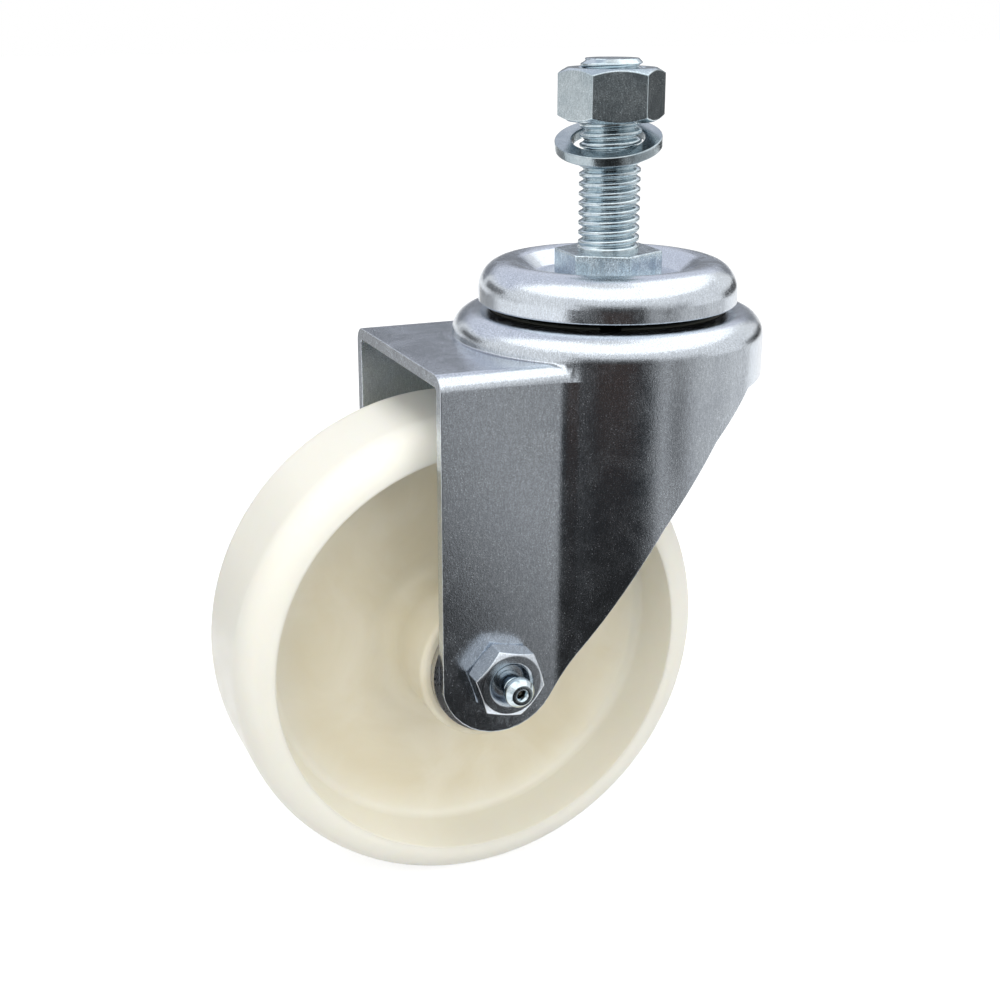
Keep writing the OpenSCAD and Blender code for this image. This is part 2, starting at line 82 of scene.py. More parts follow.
# Cards on the floor: name, azimuths, radii, level, tint
FLOOR_CARDS = (
    ("dark card front", (-37, -22), (70, 1100), 0.03, WHITE),
    ("line card front", (-22, -16), (70, 1100), 0.12, WHITE),
    ("dark card middle", (-16, 34), (70, 280), 0.025, WHITE),
    ("blue card middle", (-16, 34), (280, 430), 0.04, (0.8, 0.9, 1.0)),
    ("brown card middle", (-10, 20), (430, 640), 0.10, (1.0, 0.60, 0.46)),
    ("dark card beside", (20, 34), (430, 640), 0.04, WHITE),
    ("dark card left", (-16, -10), (430, 640), 0.04, WHITE),
    ("dark card far", (-16, 34), (640, 1100), 0.04, WHITE),
    ("dark card right line", (47, 53), (260, 1100), 0.06, WHITE),
    ("grey card right", (34, 62), (60, 230), 0.29, WHITE),
    ("grey card right far", (34, 47), (230, 1100), 0.485, WHITE),
    ("grey card right end", (53, 62), (230, 1100), 0.42, WHITE),
    ("pale card right", (62, 95), (60, 1100), 0.62, WHITE),
    ("grey card left behind", (200.4, 242.4), (200, 1100), 0.42, WHITE),
    ("pale card right side", (95, 120.4), (300, 1100), 0.75, WHITE),
)

# Cards hung about the object: name, azimuths, angles of height, distance, level, tint
HUNG_CARDS = (
    ("low dark card front", (-25, 30), (-8, 6), 1050, 0.10, WHITE),
    ("low soft card front", (-30, 30), (6, 14), 1050, 0.5, WHITE),
    ("low card right", (30, 72), (-8, -2), 1060, 0.42, WHITE),
    ("middle card right", (30, 72), (-2, 4), 1060, 0.58, WHITE),
    ("high card right", (30, 72), (4, 12), 1060, 0.78, WHITE),
    ("low dark card right", (116.4, 154.4), (-8, 6), 1050, 0.09, WHITE),
    ("low grey card left", (230.4, 277.4), (-8, 3), 1050, 0.7, WHITE),
    ("dark card left behind", (220.4, 254.4), (3, 15), 1000, 0.12, WHITE),
    ("grey card behind", (147.4, 212.4), (3, 21), 900, 0.30, (0.88, 0.92, 1.0)),
    ("bright card front", (-100, 150), (34, 78), 900, 1.8, WHITE),
    ("soft card behind", (150, 260), (21, 78), 900, 0.95, (0.88, 0.90, 1.0)),
)


# Node trees


def add_node(tree, kind, values=None, **settings):
    """Add one node, set its plain settings, and set or link its inputs."""
    node = tree.nodes.new(kind)
    for key, value in settings.items():
        setattr(node, key, value)
    for key, value in (values or {}).items():
        if isinstance(value, bpy.types.NodeSocket):
            tree.links.new(value, node.inputs[key])
        else:
            node.inputs[key].default_value = value
    return node


def sums(tree, operation, a, b=None, c=None):
    """One math node, whose inputs are numbers or sockets."""
    values = {k: v for k, v in enumerate((a, b, c)) if v is not None}
    return add_node(tree, "ShaderNodeMath", values, operation=operation).outputs[0]


def ramped(tree, value, low, high, to_low=0.0, to_high=1.0):
    """Map a range of a value smoothly to another range."""
    values = {"Value": value, "From Min": low, "From Max": high,
        "To Min": to_low, "To Max": to_high}
    return add_node(tree, "ShaderNodeMapRange", values, interpolation_type="SMOOTHSTEP").outputs[0]


def mixed(tree, factor, a, b):
    """Mix two colours."""
    node = add_node(tree, "ShaderNodeMix", data_type="RGBA")
    for socket, value in ((node.inputs[0], factor), (node.inputs[6], a), (node.inputs[7], b)):
        if isinstance(value, bpy.types.NodeSocket):
            tree.links.new(value, socket)
        elif isinstance(value, (int, float)):
            socket.default_value = value
        else:
            socket.default_value = (*value[:3], 1)
    return node.outputs[2]


def scaled(tree, colour, factor):
    """Scale a colour by a value."""
    values = {0: colour, "Scale": factor}
    return add_node(tree, "ShaderNodeVectorMath", values, operation="SCALE").outputs[0]


def object_place(tree):
    """Object coordinates, so that a finish stays with its piece."""
    return add_node(tree, "ShaderNodeTexCoord").outputs["Object"]


def noise(tree, where, scale, detail=2.0, roughness=0.5, distortion=0.0):
    """Values of a noise texture."""
    values = {"Vector": where, "Scale": scale, "Detail": detail, "Roughness": roughness,
        "Distortion": distortion}
    return add_node(tree, "ShaderNodeTexNoise", values).outputs["Fac"]


def length(tree, vector):
    """Length of a vector."""
    return add_node(tree, "ShaderNodeVectorMath", {0: vector}, operation="LENGTH").outputs["Value"]


def new_group(name, kind, inputs, outputs):
    """A node group with named inputs and outputs. A kind of socket is given by its last word."""
    group = bpy.data.node_groups.new(name, kind)
    for side, sockets in (("INPUT", inputs), ("OUTPUT", outputs)):
        for label, socket_type, *default in sockets:
            socket = group.interface.new_socket(name=label, in_out=side,
                socket_type="NodeSocket" + socket_type)
            if default:
                socket.default_value = default[0]
    return group, group.nodes.new("NodeGroupInput"), group.nodes.new("NodeGroupOutput")


def place_group(tree, group, values):
    """Place a shader group in a material with its own values."""
    return add_node(tree, "ShaderNodeGroup", values, node_tree=group)


# Surface effects that several finishes share


def grain_group():
    """Fine crystals, soft patches and drawn streaks of a plated sheet."""
    if "Plating Grain" in bpy.data.node_groups:
        return bpy.data.node_groups["Plating Grain"]
    group, inp, out = new_group("Plating Grain", "ShaderNodeTree",
        (("Grain Size", "Float", 0.0002), ("Patch Size", "Float", 0.004),
         ("Streak Turn", "Float", 0.8), ("Streak Depth", "Float", 0.25)),
        (("Crystals", "Float"), ("Specks", "Float"), ("Patches", "Float"), ("Streaks", "Float"),
         ("Height", "Float")))
    where = object_place(group)
    per_grain = sums(group, "DIVIDE", 1.0, inp.outputs["Grain Size"])
    per_patch = sums(group, "DIVIDE", 1.0, inp.outputs["Patch Size"])
    cells = add_node(group, "ShaderNodeTexVoronoi", {"Vector": where, "Scale": per_grain})
    fine = noise(group, where, per_grain, 3.0, 0.65)
    soft = noise(group, where, per_patch, 4.0, 0.6, 0.6)
    turn = add_node(group, "ShaderNodeCombineXYZ", {"Y": inp.outputs["Streak Turn"]})
    drawn = add_node(group, "ShaderNodeMapping",
        {"Vector": where, "Rotation": turn.outputs[0], "Scale": (1.0, 1.0, 0.2)})
    streak = noise(group, drawn.outputs[0], per_grain)
    height = sums(group, "MULTIPLY_ADD", cells.outputs["Distance"], -0.5, fine)
    height = sums(group, "MULTIPLY_ADD", streak, inp.outputs["Streak Depth"], height)
    for label, socket in (("Crystals", ramped(group, fine, 0.35, 0.7)),
                          ("Specks", ramped(group, fine, 0.63, 0.74)),
                          ("Patches", ramped(group, soft, 0.35, 0.65)),
                          ("Streaks", ramped(group, streak, 0.4, 0.65)),
                          ("Height", height)):
        group.links.new(socket, out.inputs[label])
    return group


def edge_group():
    """Rounded edges, and a mask of where an edge has been rubbed bright."""
    if "Rubbed Edge" in bpy.data.node_groups:
        return bpy.data.node_groups["Rubbed Edge"]
    group, inp, out = new_group("Rubbed Edge", "ShaderNodeTree",
        (("Radius", "Float", 0.0004), ("Break Size", "Float", 0.002)),
        (("Mask", "Float"), ("Normal", "Vector")))
    soft = add_node(group, "ShaderNodeBevel", {"Radius": inp.outputs["Radius"]}, samples=6)
    flat = add_node(group, "ShaderNodeNewGeometry").outputs["Normal"]
    agree = add_node(group, "ShaderNodeVectorMath", {0: soft.outputs[0], 1: flat},
        operation="DOT_PRODUCT").outputs["Value"]
    per_break = sums(group, "DIVIDE", 1.0, inp.outputs["Break Size"])
    breaks = noise(group, object_place(group), per_break, 3.0, 0.6)
    edge = ramped(group, agree, 0.99, 0.86)
    mask = sums(group, "MULTIPLY", edge, ramped(group, breaks, 0.3, 0.6))
    group.links.new(mask, out.inputs["Mask"])
    group.links.new(soft.outputs[0], out.inputs["Normal"])
    return group


def scratch_group():
    """Sparse fine handling scratches that run every way."""
    if "Handling Scratches" in bpy.data.node_groups:
        return bpy.data.node_groups["Handling Scratches"]
    group, inp, out = new_group("Handling Scratches", "ShaderNodeTree",
        (("Length", "Float", 0.008),), (("Mask", "Float"),))
    where = object_place(group)
    per_length = sums(group, "DIVIDE", 1.0, inp.outputs["Length"])
    total = None
    for turn in ((0.3, 0.9, 0.2), (1.1, -0.4, 0.8), (-0.7, 0.5, 1.9)):
        spun = add_node(group, "ShaderNodeMapping",
            {"Vector": where, "Rotation": turn, "Scale": (1.0, 14.0, 14.0)})
        lines = noise(group, spun.outputs[0], per_length, 1.0)
        off = sums(group, "ABSOLUTE", sums(group, "SUBTRACT", lines, 0.64))
        thin = ramped(group, off, 0.004, 0.0)
        total = thin if total is None else sums(group, "MAXIMUM", total, thin)
    group.links.new(total, out.inputs["Mask"])
    return group


def grease_and_shade_group():
    """A mask of a dark ring about the swivel axis, below a height: grease, and painted shade in
    the gap under the cap.
    """
    if "Grease And Painted Shade Ring" in bpy.data.node_groups:
        return bpy.data.node_groups["Grease And Painted Shade Ring"]
    group, inp, out = new_group("Grease And Painted Shade Ring", "ShaderNodeTree",
        (("Inner", "Float", 0.008), ("Outer", "Float", 0.025), ("Top", "Float", -0.008)),
        (("Mask", "Float"),))
    where = object_place(group)
    place = add_node(group, "ShaderNodeSeparateXYZ", {0: where}).outputs
    flat = add_node(group, "ShaderNodeCombineXYZ", {"X": place["X"], "Y": place["Y"]})
    away = sums(group, "MULTIPLY_ADD", noise(group, where, 900.0), 0.0004,
        length(group, flat.outputs[0]))
    outside = sums(group, "GREATER_THAN", away, inp.outputs["Inner"])
    inside = sums(group, "LESS_THAN", away, sums(group, "ADD", inp.outputs["Outer"], 0.0002))
    below = sums(group, "LESS_THAN", place["Z"], inp.outputs["Top"])
    ring = sums(group, "MULTIPLY", outside, inside)
    group.links.new(sums(group, "MULTIPLY", ring, below), out.inputs["Mask"])
    return group


# Finishes


def principled(name):
    """A material with one Principled shader."""
    material = bpy.data.materials.new(name)
    material.use_nodes = True
    tree = material.node_tree
    return material, tree, tree.nodes["Principled BSDF"]


def set_inputs(tree, shader, values):
    """Set or link a shader's own sockets."""
    for key, value in values.items():
        if isinstance(value, bpy.types.NodeSocket):
            tree.links.new(value, shader.inputs[key])
        else:
            shader.inputs[key].default_value = value


def plated_steel(name, pale, deep, roughness=(0.16, 0.3), grain=0.2, bump=0.25, patch=5.0,
                 edge=0.4, streak=0.8, rub=0.5, scratches=0.08, contrast=0.11, specks=0.12,
                 streak_depth=0.25, grease_and_shade_ring=None):
    """Bright zinc: pale and deep tints, fine crystals, streaks, scratches and rubbed edges.

    greased gives the inner radius, outer radius and top of a dark ring: grease, and painted shade
    in the gap under the cap.
    """
    material, tree, shader = principled(name)
    tex = place_group(tree, grain_group(), {"Grain Size": grain * MM, "Patch Size": patch * MM,
        "Streak Turn": streak, "Streak Depth": streak_depth}).outputs
    worn = place_group(tree, edge_group(),
        {"Radius": edge * MM, "Break Size": 3 * grain * MM}).outputs
    marks = place_group(tree, scratch_group(), {"Length": 6 * MM}).outputs["Mask"]

    colour = mixed(tree, tex["Patches"], deep, pale)
    grains = sums(tree, "MULTIPLY_ADD", tex["Crystals"], 2 * contrast, 1.0 - contrast)
    grains = sums(tree, "MULTIPLY", grains, ramped(tree, tex["Streaks"], 0.0, 1.0, 0.93, 1.07))
    colour = scaled(tree, colour, grains)
    bright = tuple(min(1.0, 1.18 * v) for v in pale)
    colour = mixed(tree, sums(tree, "MULTIPLY", worn["Mask"], rub), colour, bright)

    patchy = sums(tree, "MULTIPLY", tex["Patches"], 0.7)
    patchy = sums(tree, "MULTIPLY_ADD", tex["Streaks"], 0.3, patchy)
    rough = ramped(tree, patchy, 0.0, 1.0, *roughness)
    rough = sums(tree, "MULTIPLY_ADD", marks, scratches * 0.3, rough)
    rough = sums(tree, "MULTIPLY_ADD", tex["Specks"], specks, rough)
    # Painted shade: a near-black ring where the gap under the cap lies in shade, partly real
    # grease
    if grease_and_shade_ring is not None:
        inner, outer, top = (size * MM for size in grease_and_shade_ring)
        film = place_group(tree, grease_and_shade_group(), {"Inner": inner, "Outer": outer, "Top": top})
        colour = mixed(tree, film.outputs["Mask"], colour, GREASE_AND_PAINTED_SHADE)
        rough = sums(tree, "MULTIPLY_ADD", film.outputs["Mask"], 0.25, rough)

    height = sums(tree, "MULTIPLY_ADD", marks, -scratches, tex["Height"])
    bumps = add_node(tree, "ShaderNodeBump", {"Height": height, "Normal": worn["Normal"],
        "Strength": bump, "Distance": 0.25 * grain * MM})
    set_inputs(tree, shader, {"Base Color": colour, "Roughness": rough,
        "Normal": bumps.outputs[0], "Metallic": 1.0})
    return material


def ground_steel(name, pale, deep, roughness, grease=0.0):
    """Hardened or turned steel of the bearings, with a film of grease in patches."""
    material, tree, shader = principled(name)
    tex = place_group(tree, grain_group(),
        {"Grain Size": 0.15 * MM, "Patch Size": 3 * MM, "Streak Turn": 0.0}).outputs
    colour = mixed(tree, tex["Crystals"], deep, pale)
    film = sums(tree, "MULTIPLY", tex["Patches"], grease)
    colour = mixed(tree, film, colour, BROWN_GREASE)
    rough = ramped(tree, tex["Streaks"], 0.0, 1.0, *roughness)
    rough = sums(tree, "MULTIPLY_ADD", film, 0.2, rough)
    bumps = add_node(tree, "ShaderNodeBump",
        {"Height": tex["Height"], "Strength": 0.12, "Distance": 0.03 * MM})
    set_inputs(tree, shader, {"Base Color": colour, "Roughness": rough,
        "Normal": bumps.outputs[0], "Metallic": 1.0})
    return material


def moulded_nylon(name, pale, deep, rim):
    """Cream cast nylon: cloudy tint, paler in the thicker rim, flow marks, rubs, waxy sheen. The
    paler rim is partly painted light on the rim face, and the deeper web partly painted shade of
    the recess.
    """
    material, tree, shader = principled(name)
    centred = add_node(tree, "ShaderNodeMapping",
        {"Vector": object_place(tree), "Location": -AXLE * MM}).outputs[0]
    cloud = noise(tree, centred, 45.0, 5.0, 0.55, 0.8)
    fine = noise(tree, centred, 1600.0, 3.0, 0.6)
    orange_peel = noise(tree, centred, 260.0)
    marks = place_group(tree, scratch_group(), {"Length": 10 * MM}).outputs["Mask"]

    colour = mixed(tree, ramped(tree, cloud, 0.3, 0.7), deep, pale)
    colour = mixed(tree, ramped(tree, fine, 0.72, 0.8, 0.0, 0.35), colour, (0.5, 0.44, 0.3))
    # Paler towards the tread: partly the thicker nylon, partly painted light on the rim face and
    # painted shade in the recess
    spread = add_node(tree, "ShaderNodeVectorMath", {0: centred, 1: (1.0, 0.0, 1.0)},
        operation="MULTIPLY")
    thick_and_lit_rim = ramped(tree, length(tree, spread.outputs[0]), 0.034, 0.046)
    colour = mixed(tree, sums(tree, "MULTIPLY", thick_and_lit_rim, 0.85), colour, rim)

    rough = ramped(tree, orange_peel, 0.3, 0.7, 0.3, 0.42)
    rough = sums(tree, "MULTIPLY_ADD", marks, 0.15, rough)
    height = sums(tree, "MULTIPLY_ADD", fine, 0.35, orange_peel)
    height = sums(tree, "MULTIPLY_ADD", marks, -0.4, height)
    bumps = add_node(tree, "ShaderNodeBump",
        {"Height": height, "Strength": 0.12, "Distance": 0.1 * MM})
    set_inputs(tree, shader, {"Base Color": colour, "Roughness": rough,
        "Normal": bumps.outputs[0], "Subsurface Weight": 0.25,
        "Subsurface Radius": (1.0, 0.8, 0.5), "Subsurface Scale": 0.003, "IOR": 1.5,
        "Specular IOR Level": 0.45})
    return material


# Meshes


def link_new(name, data):
    """A new object at the origin, in the scene."""
    obj = bpy.data.objects.new(name, data)
    bpy.context.scene.collection.objects.link(obj)
    return obj


def finished(name, bm, material, body, slot, *nodes, smooth_angle=None):
    """Turn mesh work in millimetres into a smooth piece that rides on its body."""
    bmesh.ops.scale(bm, vec=(MM, MM, MM), verts=bm.verts)
    mesh = bpy.data.meshes.new(name)
    bm.to_mesh(mesh)
    bm.free()
    dressed(link_new(name, mesh), material, body, slot, *nodes, smooth_angle=smooth_angle)


def dressed(piece, material, body, slot, *nodes, smooth_angle=None):
    """Shade a plain mesh with its face weights kept, give it its finish, and let it ride."""
    mesh = piece.data
    mesh.polygons.foreach_set("use_smooth", [True] * len(mesh.polygons))
    if smooth_angle is not None:
        mesh.set_sharp_from_angle(angle=math.radians(smooth_angle))
    weights = piece.modifiers.new("face weights", "WEIGHTED_NORMAL")
    weights.keep_sharp = True
    weights.weight = 80
    graph = bpy.context.evaluated_depsgraph_get()
    plain = bpy.data.meshes.new_from_object(piece.evaluated_get(graph),
        preserve_all_data_layers=True, depsgraph=graph)
    piece.modifiers.clear()
    piece.data = plain
    plain.name = piece.name
    plain.materials.clear()
    plain.materials.append(material)
    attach(piece, body)
    if nodes:
        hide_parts(*nodes)


def rounded(corners, step=9.0):
    """Round the corners (x, z, radius) of an outline with arcs, one point every step degrees."""
    points = []
    count = len(corners)
    for i, (x, z, radius) in enumerate(corners):
        here = Vector((x, z))
        if radius <= 0:
            points.append(here)
            continue
        before = (Vector(corners[i - 1][:2]) - here).normalized()
        after = (Vector(corners[(i + 1) % count][:2]) - here).normalized()
        half = before.angle(after) / 2
        away = radius / math.tan(half)
        centre = here + (before + after).normalized() * radius / math.sin(half)
        first = here + before * away - centre
        last = here + after * away - centre
        sweep = first.angle_signed(last)
        arcs = max(2, round(abs(math.degrees(sweep)) / step))
        start = math.atan2(first.y, first.x)
        angles = [start - sweep * k / arcs for k in range(arcs + 1)]
        points += [centre + radius * Vector((math.cos(a), math.sin(a))) for a in angles]
    return points


def turned(bm, outline, steps=128, place=None):
    """Turn an outline about the Z axis into mesh faces, then put it in place."""
    on_axis = 1e-6
    rings = []
    for x, z in outline:
        if x < on_axis:
            rings.append([bm.verts.new((0, 0, z))] * steps)
        else:
            angles = [math.tau * k / steps for k in range(steps)]
            rings.append([bm.verts.new((x * math.cos(a), x * math.sin(a), z)) for a in angles])
    closed = outline[0][0] > on_axis
    made = []
    for i in range(len(rings) if closed else len(rings) - 1):
        low, high = rings[i], rings[(i + 1) % len(rings)]
        for k in range(steps):
            after = (k + 1) % steps
            unique = list(dict.fromkeys([low[k], low[after], high[after], high[k]]))
            if len(unique) > 2:
                made.append(bm.faces.new(unique))
    if place is not None:
        bmesh.ops.transform(bm, matrix=place, verts=list(dict.fromkeys(sum(rings, []))))
    bmesh.ops.recalc_face_normals(bm, faces=made)


def on_axle():
    """From the Z axis to the axle, with +Z towards the near side."""
    return Matrix.Translation(AXLE) @ Matrix.Rotation(math.pi / 2, 4, "X")


def clean_copy(node):
    """Mesh work in millimetres from a CAD node, merged and with its flat faces whole."""
    bm = bmesh.new()
    bm.from_mesh(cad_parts[node].data)
    bmesh.ops.scale(bm, vec=(1 / MM, 1 / MM, 1 / MM), verts=bm.verts)
    bmesh.ops.remove_doubles(bm, verts=bm.verts, dist=0.002)
    bmesh.ops.dissolve_limit(bm, angle_limit=math.radians(0.5), verts=bm.verts, edges=bm.edges)
    return bm


def break_edges(bm, width, angle=25.0, segments=3, keep=None):
    """Round the outside edges that are sharper than an angle and that keep lets through."""
    least = math.radians(angle)
    sharp = [e for e in bm.edges if e.is_manifold and e.calc_face_angle_signed(0) > least]
    if keep is not None:
        sharp = [e for e in sharp if keep(e)]
    bmesh.ops.bevel(bm, geom=sharp, offset=width, offset_type="OFFSET", segments=segments,
        profile=0.5, affect="EDGES", clamp_overlap=True)


def hexagon(bm, across, low, high, turn, edge):
    """A hex prism with rounded edges, turned from having a flat face towards +X."""
    corner = across / math.sqrt(3)
    place = Matrix.Translation((0, 0, (low + high) / 2))
    place = place @ Matrix.Rotation(math.radians(turn), 4, "Z")
    made = bmesh.ops.create_cone(bm, cap_ends=True, cap_tris=False, segments=6, radius1=corner,
        radius2=corner, depth=high - low, matrix=place)["verts"]
    edges = list(dict.fromkeys(e for v in made for e in v.link_edges))
    bmesh.ops.bevel(bm, geom=edges, offset=edge, segments=3, profile=0.5, affect="EDGES",
        clamp_overlap=True)


def dress_node(node, material):
    """Give a CAD node that keeps its own mesh its finish."""
    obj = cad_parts[node]
    obj.data.materials.clear()
    obj.data.materials.append(material)


# What a user would change


class CastorPlating(bpy.types.PropertyGroup):
    """Tints and grain of the plated steel."""

    fork_pale: FloatVectorProperty(name="Fork pale tint",
        description="Lighter colour of the fork's plating",
        default=(0.635, 0.685, 0.74), subtype="COLOR", min=0, max=1)
    fork_deep: FloatVectorProperty(name="Fork deep tint",
        description="Darker colour of the fork's plating",
        default=(0.585, 0.632, 0.69), subtype="COLOR", min=0, max=1)
    stem_pale: FloatVectorProperty(name="Stem pale tint",
        description="Lighter colour of the stem's plating",
        default=(0.62, 0.70, 0.74), subtype="COLOR", min=0, max=1)
    stem_deep: FloatVectorProperty(name="Stem deep tint",
        description="Darker colour of the stem's plating",
        default=(0.46, 0.55, 0.60), subtype="COLOR", min=0, max=1)
    grain: FloatProperty(name="Grain", description="Size of the plating's crystals",
        default=0.00026, subtype="DISTANCE", min=0.00005, max=0.001)


class CastorThread(bpy.types.PropertyGroup):
    """Sizes of the stem's thread."""

    pitch: FloatProperty(name="Pitch", description="Rise of the thread in one turn",
        default=0.001954, subtype="DISTANCE", min=0.0005, max=0.004)
    depth: FloatProperty(name="Depth", description="Depth of the thread's groove",
        default=0.00095, subtype="DISTANCE", min=0.0002, max=0.002)
    around: IntProperty(name="Steps around", description="Faces round one turn of the thread",
        default=72, min=24, max=160)
    rows: IntProperty(name="Rows", description="Rows of faces across one groove",
        default=12, min=6, max=24)


class CastorWheel(bpy.types.PropertyGroup):
    """Colours of the nylon wheel."""

    pale: FloatVectorProperty(name="Nylon pale tint", description="Lighter colour of the nylon",
        default=(0.78, 0.735, 0.60), subtype="COLOR", min=0, max=1)
    deep: FloatVectorProperty(name="Nylon deep tint", description="Darker colour of the nylon",
        default=(0.72, 0.66, 0.50), subtype="COLOR", min=0, max=1)
    # The rim tint is partly painted light on the rim face, set against the recess's painted shade
    rim: FloatVectorProperty(name="Rim tint",
        description="Colour of the nylon where the rim is thick",
        default=(0.93, 0.92, 0.84), subtype="COLOR", min=0, max=1)


class CastorStage(bpy.types.PropertyGroup):
    """Light and lens of the studio."""

    sky: FloatProperty(name="Sky", description="Level of the soft light from all round",
        default=0.60, min=0, max=3)
    top_light: FloatProperty(name="Top light", description="Power of the lamp overhead",
        default=2.3, unit="POWER", min=0, max=100)
    front_light: FloatProperty(name="Front light", description="Power of the lamp at the front",
        default=1.2, unit="POWER", min=0, max=100)
    left_light: FloatProperty(name="Left light", description="Power of the lamp at the left",
        default=0.85, unit="POWER", min=0, max=100)
    floor_lift: FloatProperty(name="Floor lift",
        description="Level added to the floor where the camera or the metal sees it",
        default=0.72, min=0, max=1)
    lens: FloatProperty(name="Lens", description="Focal length of the camera in millimetres",
        default=56.86, min=10, max=200)


# Pieces, one operator for each piece or group of like pieces


class CASTOR_OT_wheel(bpy.types.Operator):
    """Turn the nylon wheel with its soft tread edges, drafted recess and filleted hub"""

    bl_idname = "castor.wheel"
    bl_label = "Nylon wheel"

    def execute(self, context):
        look = context.scene.castor_wheel
        radius = (WHEEL_HIGH.z - WHEEL_LOW.z) / 2 / MM
        rim_half, web_half, hub_half, bore_half = 15.9, 3.0, 21.1, 20.4
        rim_outer, rim_inner, hub, mouth, bore = 43.6, 42.5, 15.47, 9.57, 9.47
        outline = [(radius, 0, 0), (radius, rim_half, 7.1), (rim_outer, rim_half, 0.35),
            (rim_inner, web_half, 2.2), (hub, web_half, 5.0), (hub, hub_half, 1.2),
            (mouth, hub_half, 0.3), (mouth, bore_half, 0), (bore, bore_half, 0)]
        outline += [(x, -z, r) for x, z, r in reversed(outline[1:])]
        bm = bmesh.new()
        turned(bm, rounded(outline, 6.0), 160, on_axle())
        nylon = moulded_nylon("cast nylon", look.pale, look.deep, look.rim)
        finished("nylon_wheel", bm, nylon, "wheel", "nylon", "wheel", smooth_angle=40)
        return {"FINISHED"}


class CASTOR_OT_fork(bpy.types.Operator):
    """Dress the pressed fork in grained zinc with rounded sheet edges"""

    bl_idname = "castor.fork"
    bl_label = "Pressed fork"

    def execute(self, context):
        look = context.scene.castor_plating
        # The ring given last is painted shade on the crown under the cap, partly real grease
        zinc = plated_steel("fork plating", look.fork_pale, look.fork_deep, (0.16, 0.24),
            look.grain / MM, bump=0.26, patch=9.0, edge=0.25, rub=0.25, contrast=0.15,
            specks=0.13, streak_depth=0.1, grease_and_shade_ring=(8.0, 25.0, 0.0))
        bm = clean_copy("fork")
        rear = min(v.co.x for v in bm.verts) + 0.1
        below_crown, below_shelf = -16, -21

        def is_sheet_edge(edge):
            """Whether an edge ends the shelf at the rear or runs down a leg."""
            heights = [v.co.z for v in edge.verts]
            return (max(v.co.x for v in edge.verts) < rear
                or (max(heights) < below_crown and min(heights) < below_shelf))

        break_edges(bm, 1.1, 55.0, 4, is_sheet_edge)
        finished("pressed_fork", bm, zinc, "fork", "zinc_plate", "fork", smooth_angle=35)
        return {"FINISHED"}


class CASTOR_OT_top_cap(bpy.types.Operator):
    """Turn the pressed top cap with its dished floor and rolled rim"""

    bl_idname = "castor.top_cap"
    bl_label = "Top cap"

    def execute(self, context):
        look = context.scene.castor_plating
        top, low, sheet = -2.0, -10.6, 1.9
        hole, outer_wall, inner_wall = 6.4, 26.9, 25.0
        under_floor = -7.2
        outer = [(hole, COLLAR_LOW, 0.1), (15.6, COLLAR_LOW, 1.2), (18.9, top - 0.25, 2.2),
            (20.9, top, 1.0), (outer_wall, top, 5.9), (outer_wall, low, 0.4)]
        inner = [(inner_wall, low, 0.4), (inner_wall, top - sheet, 4.0), (20.9, top - sheet, 1.0),
            (19.8, top - 2.2, 1.0), (16.4, under_floor, 1.0), (hole, under_floor, 0.1)]
        bm = bmesh.new()
        turned(bm, rounded(outer + inner, 8.0), 160)
        # The ring given last is painted shade on the cap's underside, partly real grease
        zinc = plated_steel("cap plating", look.fork_pale, look.fork_deep, (0.15, 0.26),
            look.grain / MM, bump=0.16, patch=5.0, edge=0.3, streak=1.4, contrast=0.12,
            specks=0.16, streak_depth=0.03, grease_and_shade_ring=(19.5, 25.2, -3.95))
        finished("pressed_cap", bm, zinc, "stem", "zinc_plate", "top_cap", smooth_angle=50)
        return {"FINISHED"}


class CASTOR_OT_stem(bpy.types.Operator):
    """Cut the stem's thread by its pitch, and add the hex collar, kingpin and peened end"""

    bl_idname = "castor.stem"
    bl_label = "Threaded stem"

    def execute(self, context):
        look = context.scene.castor_plating
        plating = plated_steel("stem plating", look.stem_pale, look.stem_deep, (0.12, 0.24),
            0.14, bump=0.18, patch=2.5, edge=0.15)
        make_thread("stem_thread", context.scene.castor_thread, plating)
        pin_top = COLLAR_LOW + 0.1
        shoulder, neck_end, peen_top = STEM_LOW + 5.8, STEM_LOW + 2.4, STEM_LOW + 2.6
        neck, peen = 5.2, 8.0
        bm = bmesh.new()
        hexagon(bm, 19.5, COLLAR_LOW, 0.0, -2.5, 0.35)
        turned(bm, rounded([(0, pin_top, 0), (STEM_RADIUS, pin_top, 0),
            (STEM_RADIUS, shoulder, 0.2), (neck, shoulder, 0), (neck, neck_end, 0),
            (0, neck_end, 0)]), 96)
        turned(bm, rounded([(0, peen_top, 0), (peen, peen_top, 0.2), (peen, STEM_LOW, 2.2),
            (0, STEM_LOW, 0)]), 96)
        forged = plated_steel("collar plating", look.stem_pale, look.stem_deep, (0.16, 0.26),
            0.3, bump=0.42, patch=2.5, edge=0.25, contrast=0.24, streak_depth=0.0)
        finished("hex_collar", bm, forged, "stem", "stem_plate", "threaded_stem",
            smooth_angle=40)
        return {"FINISHED"}


